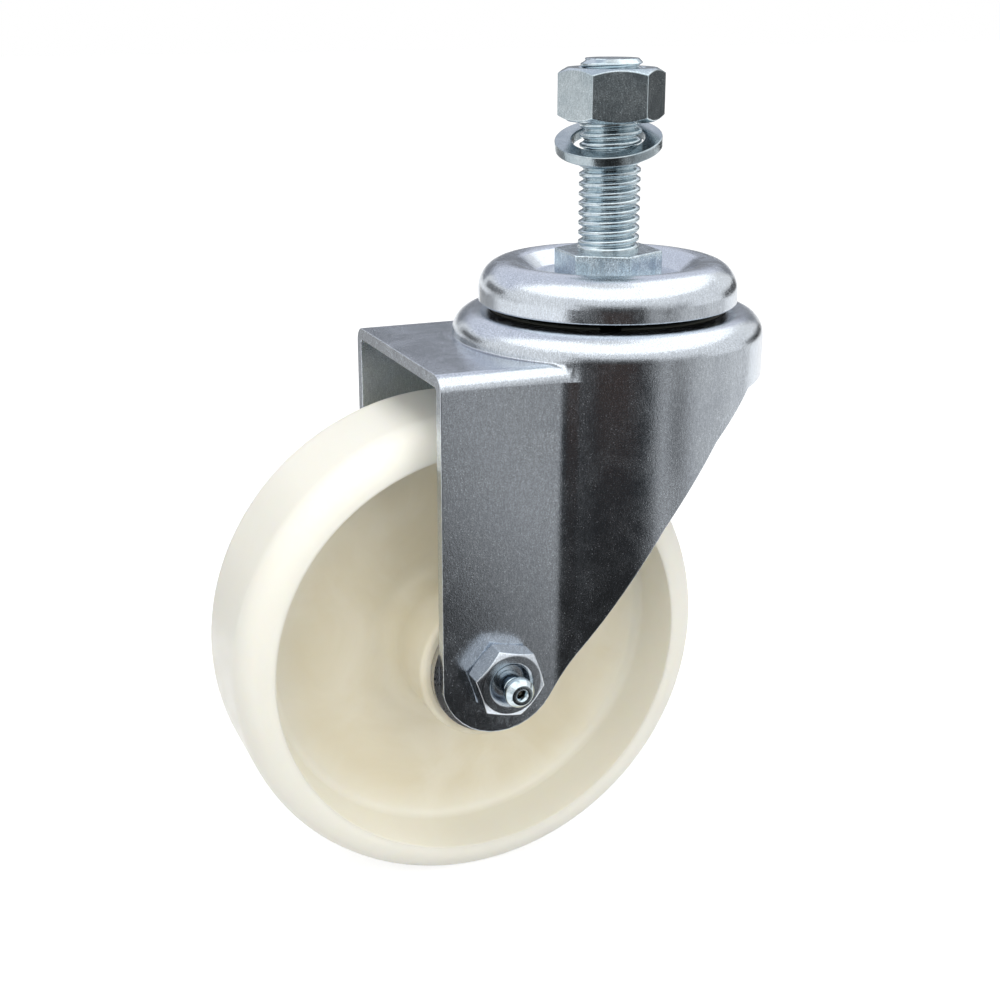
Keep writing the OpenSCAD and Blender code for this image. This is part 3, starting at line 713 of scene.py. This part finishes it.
class CASTOR_OT_nuts(bpy.types.Operator):
    """Round the edges of the stem nut, lock washer, axle nut and axle bolt"""

    bl_idname = "castor.nuts"
    bl_label = "Nuts, bolt and washer"

    def execute(self, context):
        look = context.scene.castor_plating
        nut = plated_steel("nut plating", look.stem_pale, look.stem_deep, (0.15, 0.22), 0.24,
            bump=0.22, patch=14.0, edge=0.35, streak=1.57, contrast=0.14, streak_depth=0.06)
        dull = [tuple(0.72 * v for v in tint) for tint in (look.stem_pale, look.stem_deep)]
        spring = plated_steel("washer plating", *dull, (0.14, 0.24), 0.2, bump=0.2, patch=8.0,
            edge=0.3)
        axle = plated_steel("axle plating", look.fork_pale, look.fork_deep, (0.15, 0.26), 0.2,
            bump=0.3, patch=8.0, edge=0.3, streak=1.57, streak_depth=0.5)
        for node, name, body, slot, material, width in (
                ("stem_nut", "hex_nut", "nut", "stem_plate", nut, 0.35),
                ("lock_washer", "split_washer", "washer", "stem_plate", spring, 0.3),
                ("axle_nut", "axle_hex_nut", "fork", "zinc_plate", axle, 0.25),
                ("axle_bolt", "hollow_bolt", "fork", "zinc_plate", axle, 0.2)):
            bm = clean_copy(node)
            break_edges(bm, width)
            finished(name, bm, material, body, slot, node, smooth_angle=35)
        return {"FINISHED"}


class CASTOR_OT_grease_fitting(bpy.types.Operator):
    """Turn the grease fitting and dress its check ball and spring"""

    bl_idname = "castor.grease_fitting"
    bl_label = "Grease fitting"

    def execute(self, context):
        look = context.scene.castor_plating
        tip = -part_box("grease_fitting")[0].y / MM
        base = -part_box("grease_fitting")[1].y / MM
        body, neck, head, socket, throat = 2.3, 1.95, 3.0, 1.3, 0.75
        outline = [(socket, base, 0), (body, base, 0.1), (body, tip - 3.9, 0.2),
            (neck, tip - 3.6, 0.15), (neck, tip - 3.1, 0.15), (head, tip - 2.6, 0.25),
            (head, tip - 1.2, 0.4), (2.1, tip, 0.25), (1.25, tip, 0.2),
            (throat, tip - 0.7, 0.1), (throat, tip - 1.1, 0.1), (socket, tip - 1.7, 0)]
        bm = bmesh.new()
        turned(bm, rounded(outline, 15.0), 64, on_axle())
        plating = plated_steel("fitting plating", look.stem_pale, look.stem_deep, (0.1, 0.2),
            0.1, bump=0.12, patch=1.5, edge=0.1)
        finished("nipple", bm, plating, "fork", "stem_plate", "grease_fitting", smooth_angle=50)
        steel = ground_steel("check ball steel", (0.72, 0.73, 0.75), (0.6, 0.61, 0.63),
            (0.12, 0.2))
        # Painted shade: near-black tints on the check ball darken the fitting's hole, with real
        # grease on top
        dark = ground_steel("check ball steel darkened as painted shade and grease", (0.2, 0.2, 0.21), (0.12, 0.12, 0.13),
            (0.2, 0.3), grease=0.5)
        dress_node("grease_check_ball", dark)
        dress_node("grease_spring", steel)
        return {"FINISHED"}


class CASTOR_OT_swivel_bearing(bpy.types.Operator):
    """Dress both rings of greased balls and the lower race"""

    bl_idname = "castor.swivel_bearing"
    bl_label = "Swivel bearing"

    def execute(self, context):
        look = context.scene.castor_plating
        ball = ground_steel("greased ball steel", (0.68, 0.66, 0.58), (0.42, 0.40, 0.33),
            (0.14, 0.26), grease=0.7)
        race = plated_steel("race plating", look.fork_pale, look.fork_deep, (0.16, 0.28), 0.18,
            edge=0.3)
        dress_node("upper_balls", ball)
        dress_node("lower_balls", ball)
        dress_node("lower_race", race)
        return {"FINISHED"}


class CASTOR_OT_wheel_bearing(bpy.types.Operator):
    """Dress the axle sleeve, thrust washers, roller cage and rollers"""

    bl_idname = "castor.wheel_bearing"
    bl_label = "Wheel bearing"

    def execute(self, context):
        for name, pale, deep, roughness, grease, slot, nodes in (
                ("sleeve steel", (0.62, 0.62, 0.63), (0.5, 0.5, 0.51), (0.2, 0.32), 0.3,
                    "plain_steel", ("axle_sleeve",)),
                ("thrust washer steel", (0.58, 0.58, 0.58), (0.44, 0.44, 0.45), (0.25, 0.4), 0.2,
                    "plain_steel", ("near_thrust_washer", "far_thrust_washer")),
                ("cage steel", (0.5, 0.5, 0.5), (0.36, 0.36, 0.37), (0.3, 0.45), 0.4,
                    "plain_steel", ("roller_cage",)),
                ("roller steel", (0.72, 0.72, 0.73), (0.6, 0.6, 0.62), (0.1, 0.18), 0.4,
                    "bearing_steel", ("bearing_rollers",))):
            steel = ground_steel(name, pale, deep, roughness, grease)
            for node in nodes:
                dress_node(node, steel)
        return {"FINISHED"}


def thread_group():
    """Geometry Nodes that wind one screw thread from a grid by its pitch."""
    group, inp, out = new_group("Screw Thread", "GeometryNodeTree",
        (("Geometry", "Geometry"), ("Pitch", "Float", 0.002), ("Depth", "Float", 0.001),
         ("Crest Radius", "Float", 0.00635), ("Tip Radius", "Float", 0.0053),
         ("Low", "Float", 0.0), ("High", "Float", 0.038), ("Fade", "Float", 0.002),
         ("Turns", "Int", 22), ("Around", "Int", 72), ("Rows", "Int", 12),
         ("Finish", "Material")),
        (("Geometry", "Geometry"),))
    get = inp.outputs

    def calc(operation, a, b=None, c=None):
        return sums(group, operation, a, b, c)

    # A grid whose X runs once around and whose Y runs along all the turns
    grid = add_node(group, "GeometryNodeMeshGrid", {"Size X": 1.0, "Size Y": 1.0,
        "Vertices X": calc("ADD", get["Around"], 1.0),
        "Vertices Y": calc("MULTIPLY_ADD", get["Turns"], get["Rows"], 1.0)})
    position = add_node(group, "GeometryNodeInputPosition").outputs[0]
    place = add_node(group, "ShaderNodeSeparateXYZ", {0: position}).outputs
    u = calc("ADD", place["X"], 0.5)
    v = calc("ADD", place["Y"], 0.5)
    turn = calc("MULTIPLY_ADD", v, get["Turns"], -1.0)
    raw = calc("MULTIPLY_ADD", calc("ADD", turn, u), get["Pitch"], get["Low"])
    z = calc("MINIMUM", calc("MAXIMUM", raw, get["Low"]), get["High"])

    # The groove runs out near the collar, and the tip is chamfered
    swing = calc("MULTIPLY_ADD", calc("FRACT", calc("ADD", turn, 1.0)), 2.0, -1.0)
    groove = ramped(group, calc("ABSOLUTE", swing), 0.22, 1.0)
    risen = calc("DIVIDE", calc("SUBTRACT", raw, get["Low"]), get["Fade"])
    cut = calc("MULTIPLY", groove, ramped(group, risen, 0.6, 1.6))
    radius = calc("SUBTRACT", get["Crest Radius"], calc("MULTIPLY", cut, get["Depth"]))
    to_tip = calc("MAXIMUM", calc("SUBTRACT", get["High"], raw), 0.0)
    radius = calc("MINIMUM", radius, calc("ADD", to_tip, get["Tip Radius"]))
    under = calc("LESS_THAN", raw, get["Low"])
    radius = calc("ADD", calc("MULTIPLY", radius, calc("SUBTRACT", 1.0, under)),
        calc("MULTIPLY", get["Crest Radius"], under))
    angle = calc("MULTIPLY", u, math.tau)
    point = add_node(group, "ShaderNodeCombineXYZ",
        {"X": calc("MULTIPLY", radius, calc("COSINE", angle)),
         "Y": calc("MULTIPLY", radius, calc("SINE", angle)), "Z": z})
    wound = add_node(group, "GeometryNodeSetPosition",
        {"Geometry": grid.outputs["Mesh"], "Position": point.outputs[0]})

    # Discs close both ends
    parts = [wound.outputs[0]]
    for level, size in (("High", "Tip Radius"), ("Low", "Crest Radius")):
        disc = add_node(group, "GeometryNodeMeshCircle",
            {"Vertices": get["Around"], "Radius": get[size]}, fill_type="NGON")
        lift = add_node(group, "ShaderNodeCombineXYZ", {"Z": get[level]})
        moved = add_node(group, "GeometryNodeTransform",
            {"Geometry": disc.outputs[0], "Translation": lift.outputs[0]})
        if level == "Low":
            moved = add_node(group, "GeometryNodeFlipFaces", {"Mesh": moved.outputs[0]})
        parts.append(moved.outputs[0])
    joined = add_node(group, "GeometryNodeJoinGeometry")
    for part in parts:
        group.links.new(part, joined.inputs[0])
    merged = add_node(group, "GeometryNodeMergeByDistance",
        {"Geometry": joined.outputs[0], "Distance": 1e-6})
    real = add_node(group, "GeometryNodeRealizeInstances", {"Geometry": merged.outputs[0]})
    done = add_node(group, "GeometryNodeSetMaterial",
        {"Geometry": real.outputs[0], "Material": get["Finish"]})
    group.links.new(done.outputs[0], out.inputs["Geometry"])
    return group


def make_thread(name, sizes, material):
    """Wind the stem's thread and keep it as a plain mesh."""
    group = thread_group()
    piece = link_new(name, bpy.data.meshes.new(name))
    winding = piece.modifiers.new("winding", "NODES")
    winding.node_group = group
    low, high = -0.3 * MM, STEM_TOP * MM
    values = {"Pitch": sizes.pitch, "Depth": sizes.depth, "Crest Radius": STEM_RADIUS * MM,
        "Tip Radius": 5.35 * MM, "Low": low, "High": high, "Fade": 1.2 * MM,
        "Turns": math.ceil((high - low) / sizes.pitch) + 2, "Around": sizes.around,
        "Rows": sizes.rows, "Finish": material}
    for item in group.interface.items_tree:
        if item.item_type == "SOCKET" and item.in_out == "INPUT" and item.name in values:
            winding[item.identifier] = values[item.name]
    graph = bpy.context.evaluated_depsgraph_get()
    plain = bpy.data.meshes.new_from_object(piece.evaluated_get(graph), depsgraph=graph)
    piece.modifiers.clear()
    piece.data = plain
    bm = bmesh.new()
    bm.from_mesh(plain)
    bmesh.ops.dissolve_degenerate(bm, dist=1e-7, edges=bm.edges)
    bmesh.ops.recalc_face_normals(bm, faces=bm.faces)
    bm.to_mesh(plain)
    bm.free()
    dressed(piece, material, "stem", "stem_plate", "threaded_stem", smooth_angle=50)


# Stage


def glow(name, level, tint):
    """A plain light-giving finish for a studio card."""
    material = bpy.data.materials.new(name)
    material.use_nodes = True
    tree = material.node_tree
    tree.nodes.clear()
    shine = add_node(tree, "ShaderNodeEmission", {"Color": (*tint, 1), "Strength": level})
    add_node(tree, "ShaderNodeOutputMaterial", {"Surface": shine.outputs[0]})
    return material


def stage_mesh(name, points, faces, material, only_gloss):
    """A floor or card that isn't part of the object."""
    mesh = bpy.data.meshes.new(name)
    mesh.from_pydata([Vector(p) * MM for p in points], [], faces)
    mesh.materials.append(material)
    obj = link_new(name, mesh)
    if only_gloss:
        obj.visible_camera = False
        obj.visible_diffuse = False
        obj.visible_shadow = False
        obj.visible_transmission = False
        obj.visible_volume_scatter = False


def between(ends, steps):
    """Angles in radians that go evenly from one end to the other, given in degrees."""
    return [math.radians(ends[0] + (ends[1] - ends[0]) * k / steps) for k in range(steps + 1)]


def from_camera(azimuths):
    """Azimuths that are counted from +X, of ones counted from the camera's."""
    return [CAMERA_AZIMUTH + azimuth for azimuth in azimuths]


def floor_card(name, azimuths, radii, level, tint):
    """A card that lies on the floor, seen only in the metal: a part of a ring."""
    steps = 16
    centre_x, lift = -15, 0.3
    points = [(r * math.cos(a) + centre_x, r * math.sin(a), FLOOR_Z + lift)
        for a in between(from_camera(azimuths), steps) for r in radii]
    faces = [(2 * k, 2 * k + 1, 2 * k + 3, 2 * k + 2) for k in range(steps)]
    stage_mesh(name, points, faces, glow(name, level, tint), True)


def hung_card(name, azimuths, heights, distance, level, tint):
    """A curved card hung about the object between two angles of height, seen only in the metal."""
    steps, rows = 24, 8
    middle_z = -40
    points = [(distance * math.cos(a) * math.cos(e), distance * math.sin(a) * math.cos(e),
        distance * math.sin(e) + middle_z)
        for a in between(from_camera(azimuths), steps) for e in between(heights, rows)]
    column = rows + 1
    faces = [(column * k + j, column * k + j + 1, column * (k + 1) + j + 1, column * (k + 1) + j)
        for k in range(steps) for j in range(rows)]
    stage_mesh(name, points, faces, glow(name, level, tint), True)


def lamp(name, place, target, size, power):
    """A soft square lamp aimed at a point. The metal shows the cards instead of the lamps."""
    light = bpy.data.lights.new(name, "AREA")
    light.shape = "SQUARE"
    light.size = size * MM
    light.energy = power
    obj = link_new(name, light)
    obj.visible_glossy = False
    obj.location = Vector(place) * MM
    aim = Vector(target) - Vector(place)
    obj.rotation_euler = aim.to_track_quat("-Z", "Y").to_euler()


class CASTOR_OT_stage(bpy.types.Operator):
    """Build the pale floor, the white surround, the lamps and cards, and the camera"""

    bl_idname = "castor.stage"
    bl_label = "Stage"

    def execute(self, context):
        look = context.scene.castor_stage
        scene = context.scene
        scene.view_settings.view_transform = "Standard"

        floor, tree, shader = principled("pale floor")
        speck = noise(tree, object_place(tree), 900.0)
        colour = mixed(tree, speck, (0.56, 0.56, 0.56), (0.59, 0.59, 0.59))
        path = add_node(tree, "ShaderNodeLightPath").outputs
        seen = sums(tree, "MAXIMUM", path["Is Camera Ray"], path["Is Glossy Ray"])
        set_inputs(tree, shader, {"Base Color": colour, "Roughness": 0.9,
            "Specular IOR Level": 0.1, "Emission Color": (1, 1, 1, 1),
            "Emission Strength": sums(tree, "MULTIPLY", seen, look.floor_lift)})
        corners = [(x * FLOOR_REACH, y * FLOOR_REACH, FLOOR_Z)
            for x, y in ((-1, -1), (1, -1), (1, 1), (-1, 1))]
        stage_mesh("floor", corners, [(0, 1, 2, 3)], floor, False)

        world = bpy.data.worlds.new("white surround")
        scene.world = world
        world.use_nodes = True
        tree = world.node_tree
        tree.nodes.clear()
        path = add_node(tree, "ShaderNodeLightPath").outputs
        through = sums(tree, "MAXIMUM", path["Is Glossy Ray"], path["Is Transmission Ray"])
        seen = sums(tree, "MAXIMUM", path["Is Camera Ray"], through)
        level = sums(tree, "MULTIPLY_ADD", seen, 1.0 - look.sky, look.sky)
        sky = add_node(tree, "ShaderNodeBackground", {"Color": (1, 1, 1, 1), "Strength": level})
        add_node(tree, "ShaderNodeOutputWorld", {"Surface": sky.outputs[0]})

        lamp("top lamp", (-60, -120, 620), (-20, 0, -60), 420, look.top_light)
        lamp("left lamp", (-420, -480, 120), (-60, 0, -60), 380, look.left_light)
        lamp("front lamp", (200, -600, 220), (-20, 0, -60), 420, look.front_light)
        for card in FLOOR_CARDS:
            floor_card(*card)
        for card in HUNG_CARDS:
            hung_card(*card)

        camera = bpy.data.cameras.new("camera")
        camera.lens = look.lens
        camera.sensor_width = 36.0
        camera.clip_start = 0.01
        camera.clip_end = 100.0
        obj = link_new("camera", camera)
        turn = Matrix(CAMERA_AXES).transposed().to_quaternion().to_matrix().to_4x4()
        obj.matrix_world = Matrix.Translation(Vector(CAMERA_PLACE) * MM) @ turn
        scene.camera = obj
        return {"FINISHED"}


# In the order in which main() calls them
OPERATORS = (CASTOR_OT_stage, CASTOR_OT_wheel, CASTOR_OT_fork, CASTOR_OT_top_cap,
    CASTOR_OT_stem, CASTOR_OT_nuts, CASTOR_OT_grease_fitting, CASTOR_OT_swivel_bearing,
    CASTOR_OT_wheel_bearing)
SETTINGS = (("castor_plating", CastorPlating), ("castor_thread", CastorThread),
    ("castor_wheel", CastorWheel), ("castor_stage", CastorStage))


class CASTOR_PT_panel(bpy.types.Panel):
    """Lists the castor's pieces and settings"""

    bl_label = "Castor"
    bl_idname = "CASTOR_PT_panel"
    bl_space_type = "VIEW_3D"
    bl_region_type = "UI"
    bl_category = "Castor"

    def draw(self, context):
        for key, settings in SETTINGS:
            box = self.layout.box()
            for prop in settings.__annotations__:
                box.prop(getattr(context.scene, key), prop)
        for operator in OPERATORS:
            self.layout.operator(operator.bl_idname)


def register():
    for key, settings in SETTINGS:
        bpy.utils.register_class(settings)
        setattr(bpy.types.Scene, key, PointerProperty(type=settings))
    for operator in OPERATORS:
        bpy.utils.register_class(operator)
    bpy.utils.register_class(CASTOR_PT_panel)


def unregister():
    bpy.utils.unregister_class(CASTOR_PT_panel)
    for operator in reversed(OPERATORS):
        bpy.utils.unregister_class(operator)
    for key, settings in reversed(SETTINGS):
        delattr(bpy.types.Scene, key)
        bpy.utils.unregister_class(settings)


def main():
    register()
    bpy.ops.castor.stage()
    bpy.ops.castor.wheel()
    bpy.ops.castor.fork()
    bpy.ops.castor.top_cap()
    bpy.ops.castor.stem()
    bpy.ops.castor.nuts()
    bpy.ops.castor.grease_fitting()
    bpy.ops.castor.swivel_bearing()
    bpy.ops.castor.wheel_bearing()


if __name__ == "__main__":
    main()
